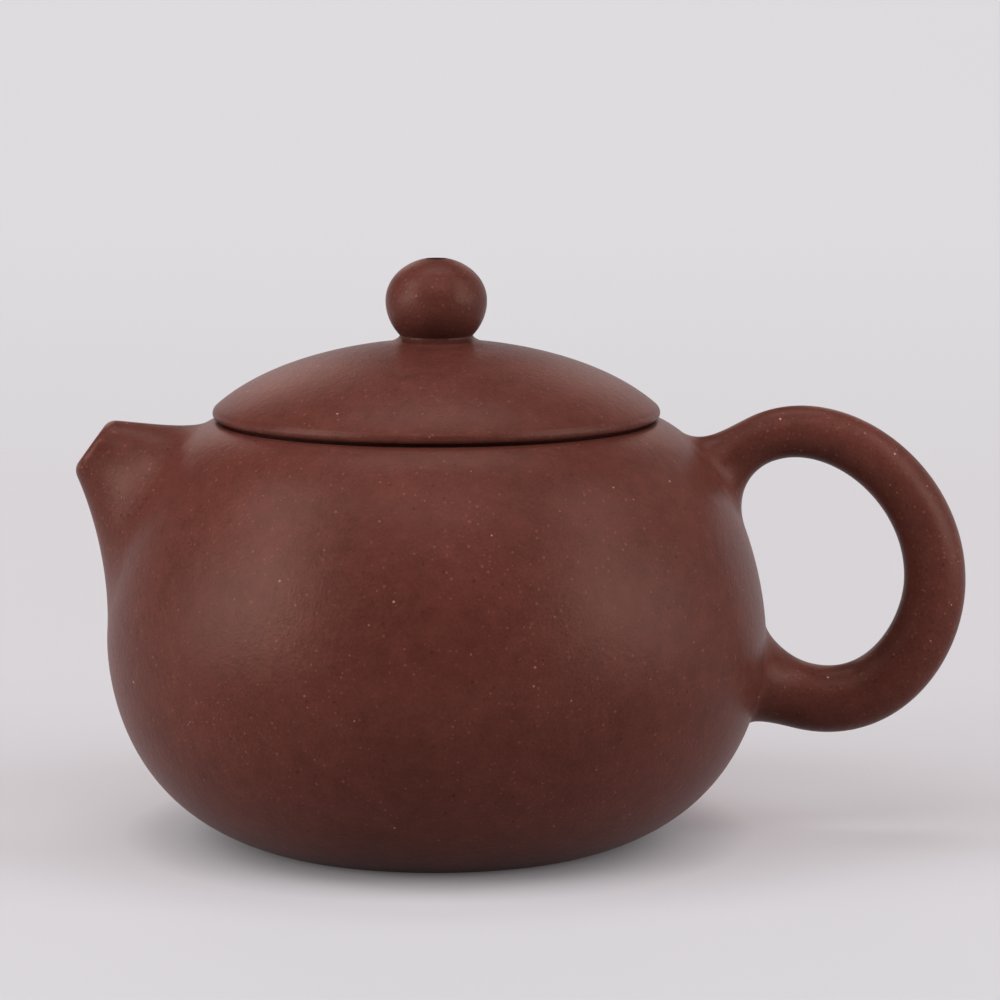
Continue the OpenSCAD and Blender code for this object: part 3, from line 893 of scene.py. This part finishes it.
def strainerTree():
    # a ball shell pierced by rings of pins, then cut to the space inside the pot
    tree, t, given, result = newTree("Geometry", "piercedBall", {
        "Geometry": ("Geometry", None),
        "Radius": ("Float", 0.01),
        "Thickness": ("Float", 0.001),
        "Pin Diameter": ("Float", 0.001),
        "Pin Web": ("Float", 0.001),
        "Pin Step": ("Float", 0.3),
        "Place": ("Vector", (0, 0, 0)),
        "Tilt": ("Vector", (0, 0, 0)),
        "Cavity": ("Object", None),
        "Material": ("Material", None),
    }, {"Geometry": "Geometry"})
    s = strainerShape
    inner = t.math("SUBTRACT", given["Radius"], given["Thickness"])
    middle = t.math("SUBTRACT", given["Radius"], t.times(given["Thickness"], 0.5))
    balls = [t.add("GeometryNodeMeshUVSphere", Segments=s["ballSides"], Rings=s["ballRings"],
                   Radius=r) for r in (given["Radius"], inner)]
    carve = {"operation": "DIFFERENCE", "solver": "EXACT"}
    shell = t.add("GeometryNodeMeshBoolean", settings=carve, Mesh_1=balls[0], Mesh_2=balls[1])
    rings = t.add("GeometryNodeJoinGeometry", None)
    for ring in range(s["pinRings"] + 1):
        t.links.new(pinRing(t, given, middle, ring), rings.inputs[0])
    pin = t.add("GeometryNodeMeshCylinder", Vertices=s["pinSides"],
                Radius=t.times(given["Pin Diameter"], 0.5),
                Depth=t.times(given["Thickness"], s["pinLength"]))
    out = t.add("FunctionNodeAlignRotationToVector", settings={"axis": "Z"},
                Vector=t.add("GeometryNodeInputPosition"))
    pins = t.add("GeometryNodeInstanceOnPoints", Points=rings.outputs[0],
                 Instance=pin, Rotation=out)
    pins = t.add("GeometryNodeRealizeInstances", Geometry=pins)
    pierced = t.add("GeometryNodeMeshBoolean", settings=carve, Mesh_1=shell, Mesh_2=pins)
    placed = t.add("GeometryNodeTransform", Geometry=pierced, Translation=given["Place"],
                   Rotation=given["Tilt"])
    cavity = t.add("GeometryNodeObjectInfo", "Geometry", Object=given["Cavity"])
    cut = t.add("GeometryNodeMeshBoolean", None,
                settings={"operation": "INTERSECT", "solver": "EXACT"})
    for part in (placed, cavity):
        t.links.new(part, cut.inputs["Mesh 2"])
    endTree(t, cut.outputs[0], given, result)
    return tree


def makeStrainer(material, lathe):
    s = strainerShape
    # the cavity bites a little into the wall, so that the ball's edge sinks into the clay
    side = wallLine(s["cavitySteps"], potShape["wall"] - s["bite"])
    core, floor = s["cavityCore"], s["cavityFloor"]
    cavityLine = chain([(core, floor)], side[side[:, 1] > floor], [(core, side[-1][1])])
    cavity = turnOnWheel("cavity", cavityLine, s["cavitySides"], None, lathe)
    place = innerWall.land(spoutTip[None], spoutIn, 0, bellyRadius / 2)[0]
    ball = newMesh("strainerBall", [(0, 0, 0)], [])
    runTree(ball, strainerTree(), Radius=s["radius"] * mm, Thickness=s["thick"] * mm,
            Pin_Diameter=s["pinDiameter"] * mm, Pin_Web=s["pinWeb"] * mm,
            Pin_Step=radians(s["pinStep"]), Place=tuple(place * mm),
            Tilt=(0, radians(90 + spoutShape["rise"]), 0), Cavity=cavity, Material=material)
    bpy.data.objects.remove(cavity)
    return finishMesh(ball)


def ramp(t, value, low, high):
    # 0 at low, 1 at high, straight between and held beyond
    node = t.nodes.new("ShaderNodeMapRange")
    t.put(node.inputs["Value"], value)
    t.put(node.inputs["From Min"], low)
    t.put(node.inputs["From Max"], high)
    return node.outputs["Result"]


def blendColours(t, share, a, b):
    # the node's sockets 6 and 7 and its output 2 are the ones for colours
    node = t.nodes.new("ShaderNodeMix")
    node.data_type = "RGBA"
    t.put(node.inputs[0], share)
    t.put(node.inputs[6], a)
    t.put(node.inputs[7], b)
    return node.outputs[2]


def noise(t, place, scale, detail, roughness):
    return t.add("ShaderNodeTexNoise", Vector=place, Scale=scale,
                 Detail=detail, Roughness=roughness)


grainShape = {
    # detail and roughness of each noise
    "cloud": (3.0, 0.5),
    "sand": (3.0, 0.62),
    "coarse": (2.0, 0.5),
    "mottle": (3.0, 0.6),
    "coarseShare": 0.37,            # frequencies, as shares of the sand's
    "mottleShare": 0.16,
    "cloudEdges": (0.36, 0.64),
    "grainEdges": (0.3, 0.7),
    "tones": (0.25, 0.35, 0.40),    # how much cloud, mottle and sand change the tone
    "heights": (0.6, 0.7),          # how much sand and coarse grain stand up
}


def clayGrainGroup():
    # the fired body: cloudy tone, mottling and fine sand
    group, t, given, result = newTree("Shader", "clayGrain", {
        "Place": ("Vector", (0, 0, 0)),
        "Light Colour": ("Color", (0.2, 0.08, 0.06, 1)),
        "Dark Colour": ("Color", (0.15, 0.06, 0.05, 1)),
        "Sand Size": ("Float", 0.0005),
        "Cloud Size": ("Float", 0.02),
    }, {"Colour": "Color", "Height": "Float", "Sand": "Float", "Cloud": "Float"})
    s, place = grainShape, given["Place"]
    fine = t.math("DIVIDE", 1.0, given["Sand Size"])
    wide = t.math("DIVIDE", 1.0, given["Cloud Size"])
    cloud = ramp(t, noise(t, place, wide, *s["cloud"]), *s["cloudEdges"])
    sand = noise(t, place, fine, *s["sand"])
    coarse = noise(t, place, t.times(fine, s["coarseShare"]), *s["coarse"])
    mottle = noise(t, place, t.times(fine, s["mottleShare"]), *s["mottle"])
    mottle, grit = ramp(t, mottle, *s["grainEdges"]), ramp(t, sand, *s["grainEdges"])
    cloudPart, mottlePart, sandPart = s["tones"]
    tone = t.plus(t.times(cloud, cloudPart), t.times(mottle, mottlePart))
    tone = t.math("ADD", tone, t.times(grit, sandPart), clamp=True)
    t.put(result["Colour"], blendColours(t, tone, given["Dark Colour"], given["Light Colour"]))
    sandRise, coarseRise = s["heights"]
    t.put(result["Height"], t.plus(t.times(sand, sandRise), t.times(coarse, coarseRise)))
    t.put(result["Sand"], grit)
    t.put(result["Cloud"], cloud)
    return group


speckShape = {
    "smallest": 0.45,       # shares of a speck's full size
    "core": 0.55,
}


def oreSpecksGroup():
    # pale grains of sand and mica in the clay: few, tiny, each with its own colour
    group, t, given, result = newTree("Shader", "oreSpecks", {
        "Place": ("Vector", (0, 0, 0)),
        "Spacing": ("Float", 0.002),
        "Size": ("Float", 0.0002),
        "Share": ("Float", 0.3),
    }, {"Mask": "Float", "Shade": "Float"})
    scale = t.math("DIVIDE", 1.0, given["Spacing"])
    cells = t.add("ShaderNodeTexVoronoi", None, Vector=given["Place"],
                  Scale=scale, Randomness=1.0)
    away = t.times(cells.outputs["Distance"], given["Spacing"])
    pick = t.add("ShaderNodeSeparateColor", None, Color=cells.outputs["Color"])
    size = t.times(given["Size"], t.plus(speckShape["smallest"], pick.outputs[1]))
    fade = ramp(t, away, t.times(size, speckShape["core"]), size)
    spot = t.math("SUBTRACT", 1.0, fade, clamp=True)
    chosen = t.math("LESS_THAN", pick.outputs[0], given["Share"])
    t.put(result["Mask"], t.times(spot, chosen))
    t.put(result["Shade"], pick.outputs[2])
    return group


clayFinish = {
    # lengths in metres
    "light": (0.076, 0.0212, 0.0156, 1),
    "dark": (0.040, 0.0109, 0.0078, 1),
    "roughness": 0.36,
    "roughnessSpread": 0.10,
    "sand": 0.00040,
    "cloud": 0.016,
    "bump": 0.7,
    "bumpDepth": 0.00009,
    # colour of the tea stain and of the painted shade
    "stainAndShade": (0.012, 0.005, 0.004, 1),
    "gloss": 0.09,
    "glossTint": (1.0, 0.68, 0.56, 1),
    "ends": (0.036, 0.043),     # handwork lies past this, or above top
    "top": (0.071, 0.074),
    "crowd": 0.3,               # share of specks anywhere, and more on handwork
    "more": 1.1,
    "dimmest": 0.25,
    "specks": (
        # spacing, size, share, strength, colour
        (0.0008, 0.00020, 0.50, 0.45, (0.130, 0.042, 0.031, 1)),
        (0.0013, 0.00024, 0.35, 0.50, (0.022, 0.006, 0.004, 1)),
        (0.0012, 0.00014, 0.50, 0.55, (0.170, 0.064, 0.048, 1)),
        (0.0026, 0.00016, 0.36, 0.95, (0.300, 0.155, 0.110, 1)),
    ),
}


def newMaterial(name):
    material = bpy.data.materials.new(name)
    material.use_nodes = True
    material.node_tree.nodes.clear()
    return material, Tree(material.node_tree)


def specksCrowd(t, spot, cloud, finish):
    # more specks show on the parts worked by hand: the spout, the handle and the knob
    parts = t.add("ShaderNodeSeparateXYZ", None, Vector=spot).outputs
    ends = ramp(t, t.math("ABSOLUTE", parts[0]), *finish["ends"])
    handWork = t.math("MAXIMUM", ends, ramp(t, parts[2], *finish["top"]))
    return t.plus(t.plus(finish["crowd"], cloud), t.times(handWork, finish["more"]))


def clayMaterial(name, grain, specks, finish, turn=(0, 0, 0)):
    material, t = newMaterial(name)
    spot = t.add("ShaderNodeTexCoord", "Object")
    place = t.add("ShaderNodeMapping", Vector=spot, Rotation=turn)
    clay = t.add("ShaderNodeGroup", None, settings={"node_tree": grain}, Place=place,
                 Light_Colour=finish["light"], Dark_Colour=finish["dark"],
                 Sand_Size=finish["sand"], Cloud_Size=finish["cloud"])
    colour = clay.outputs["Colour"]
    crowd = specksCrowd(t, spot, clay.outputs["Cloud"], finish)
    for spacing, size, share, strength, tint in finish["specks"]:
        ore = t.add("ShaderNodeGroup", None, settings={"node_tree": specks}, Place=place,
                    Spacing=spacing, Size=size, Share=t.times(crowd, share))
        shade = t.plus(finish["dimmest"], ore.outputs["Shade"])
        shade = t.math("MULTIPLY", shade, strength, clamp=True)
        colour = blendColours(t, t.times(ore.outputs["Mask"], shade), colour, tint)
    # the stored tea stain and painted shade darken the colour
    stainAndShade = t.add("ShaderNodeAttribute", "Fac", settings={"attribute_name": "teaStainAndShade"})
    colour = blendColours(t, stainAndShade, colour, finish["stainAndShade"])
    rough = t.plus(finish["roughness"] - finish["roughnessSpread"] / 2,
                   t.times(clay.outputs["Sand"], finish["roughnessSpread"]))
    bump = t.add("ShaderNodeBump", Strength=finish["bump"], Distance=finish["bumpDepth"],
                 Height=clay.outputs["Height"])
    shader = t.add("ShaderNodeBsdfPrincipled", Base_Color=colour, Roughness=rough, Normal=bump,
                   Specular_IOR_Level=finish["gloss"], Specular_Tint=finish["glossTint"])
    t.add("ShaderNodeOutputMaterial", None, Surface=shader)
    return material


print("materials")
grainGroup, specksGroup = clayGrainGroup(), oreSpecksGroup()
potClay = clayMaterial("potClay", grainGroup, specksGroup, clayFinish)
lidClay = clayMaterial("lidClay", grainGroup, specksGroup, clayFinish, (0.4, 1.1, 2.3))
innerClay = clayMaterial("strainerClay", grainGroup, specksGroup, clayFinish, (1.4, 0.2, 0.7))

print("pot")
pot = makePot()
pot.data.materials.append(potClay)
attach(pot, "pot")
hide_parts("body_wall", "base_disc", "mouth_ring", "spout", "handle")

print("lid")
lathe = latheTree()
lid = markStainAndShade(turnOnWheel("lidSkin", lidProfile(), lidShape["sides"], lidClay, lathe), lidStainAndShade)
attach(lid, "lid")
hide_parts("lid_dome", "lid_plate", "lid_flange", "knob")

print("strainer")
strainer = makeStrainer(innerClay, lathe)
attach(strainer, "pot")
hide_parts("strainer")


stageShape = {
    # metres and degrees
    "halfWidth": 1.6,
    "front": -1.6,
    "bend": 0.35,
    "bendRadius": 0.70,
    "bendAngle": 65.0,
    "bendSteps": 32,
    "colour": (0.180, 0.195, 0.202, 1),
    "shade": 0.985,
    "shadeNoise": (9.0, 3.0, 0.5),      # scale, detail and roughness
    "shadeEdges": (0.2, 0.8),
    "roughness": 0.85,
    "gloss": 0.2,
    # painted light: the table's glow, warm beside the pot as a painted bounce from the clay
    "glowWarm": (0.315, 0.262, 0.272, 1),
    "glowPlain": (0.300, 0.281, 0.290, 1),
    "glowNear": (0.024, 0.045),
    "glowFar": (0.05, 0.60),
    "glowGain": 0.42,
}


def glowingPaleTable():
    s = stageShape
    material, t = newMaterial("glowingPaleTable")
    place = t.add("ShaderNodeTexCoord", "Object")
    shade = ramp(t, noise(t, place, *s["shadeNoise"]), *s["shadeEdges"])
    tone = [c * s["shade"] for c in s["colour"][:3]] + [1]
    # the table glows faintly, a painted light that keeps its shadows light: not right under the
    # pot, which paints the contact shadow there, warm beside it as a painted bounce from the clay,
    # and a little more further off
    away = t.add("ShaderNodeVectorMath", "Value", settings={"operation": "LENGTH"}, Vector=place)
    near, far = ramp(t, away, *s["glowNear"]), ramp(t, away, *s["glowFar"])
    shader = t.add("ShaderNodeBsdfPrincipled", Roughness=s["roughness"],
                   Base_Color=blendColours(t, shade, tone, s["colour"]),
                   Emission_Color=blendColours(t, far, s["glowWarm"], s["glowPlain"]),
                   Emission_Strength=t.plus(near, t.times(far, s["glowGain"])),
                   Specular_IOR_Level=s["gloss"])
    t.add("ShaderNodeOutputMaterial", None, Surface=shader)
    return material


def makeStage():
    # table and backdrop in one swept sheet
    s = stageShape
    radius, half = s["bendRadius"], s["halfWidth"]
    turn = np.radians(np.linspace(0, s["bendAngle"], s["bendSteps"] + 1))
    curve = [(s["front"], 0.0)]
    curve += [(s["bend"] + radius * sin(q), radius * (1 - cos(q))) for q in turn]
    points = [(x / mm, y / mm, z / mm) for y, z in curve for x in (-half, half)]
    faces = [(2 * i, 2 * i + 1, 2 * i + 3, 2 * i + 2) for i in range(len(curve) - 1)]
    sheet = newMesh("tableSheet", points, faces)
    sheet.data.shade_smooth()
    sheet.data.materials.append(glowingPaleTable())


potMiddle = (0, 0, 0.035)
white, warm = (1, 1, 1), (1, 0.70, 0.63)
studioLights = {
    # place, target, width, height, power, colour; metres and watts
    "leftSoftbox": ((-0.577, -0.333, 0.25), potMiddle, 0.30, 0.35, 4.3, white),
    "rightSoftbox": ((0.577, -0.333, 0.25), potMiddle, 0.30, 0.35, 3.1, white),
    "leftHighBox": ((-0.478, -0.128, 0.53), potMiddle, 0.30, 0.30, 2.6, white),
    "rightHighBox": ((0.478, -0.128, 0.53), potMiddle, 0.30, 0.30, 1.8, white),
    "leftLowStrip": ((-0.66, -0.10, 0.14), potMiddle, 0.30, 0.25, 1.4, white),
    "rightLowStrip": ((0.66, -0.10, 0.14), potMiddle, 0.30, 0.25, 1.1, white),
    "rightPanel": ((0.60, 0.22, 0.30), (0, 0.05, 0.05), 0.90, 0.60, 0.9, white),
    "topSoftbox": ((0, -0.35, 0.62), potMiddle, 0.50, 0.35, 2.4, white),
    "leftBackCard": ((-0.28, 0.80, 0.48), potMiddle, 0.30, 0.35, 0.64, warm),
    "rightBackCard": ((0.28, 0.80, 0.48), potMiddle, 0.30, 0.35, 0.50, warm),
    "backdropLamp": ((0, 0.25, 0.95), (0, 1.0, 0.42), 0.60, 0.60, 7.4, white),
}


def areaLight(name, place, target, width, height, power, colour):
    light = bpy.data.lights.new(name, "AREA")
    light.shape, light.size, light.size_y, light.energy = "RECTANGLE", width, height, power
    light.color = colour
    lamp = addObject(name, light)
    lamp.location = place
    lamp.rotation_euler = (Vector(target) - Vector(place)).to_track_quat("-Z", "Y").to_euler()


viewShape = {
    # metres and degrees; lens and sensor in millimetres
    "distance": 0.600,
    "above": 8.056,
    "target": (0.0089, 0, 0.0474),
    "lens": 153.6,
    "sensor": 36,
    "clipStart": 0.01,
}
roomShape = {
    "Color": (1.0, 0.985, 1.0, 1),
    "Strength": 0.02,
}


def makeCamera():
    v = viewShape
    camera = addObject("camera", bpy.data.cameras.new("camera"))
    tilt = radians(v["above"])
    camera.location = Vector(v["target"]) + v["distance"] * Vector((0, -cos(tilt), sin(tilt)))
    camera.rotation_euler = (pi / 2 - tilt, 0, 0)
    camera.data.lens, camera.data.sensor_width = v["lens"], v["sensor"]
    camera.data.clip_start = v["clipStart"]
    bpy.context.scene.camera = camera


def makeRoom():
    world = bpy.data.worlds.new("room")
    world.use_nodes = True
    for key, value in roomShape.items():
        world.node_tree.nodes["Background"].inputs[key].default_value = value
    bpy.context.scene.world = world


print("stage")
makeStage()
makeCamera()
for name, lamp in studioLights.items():
    areaLight(name, *lamp)
makeRoom()
bpy.context.scene.view_settings.view_transform = "Standard"
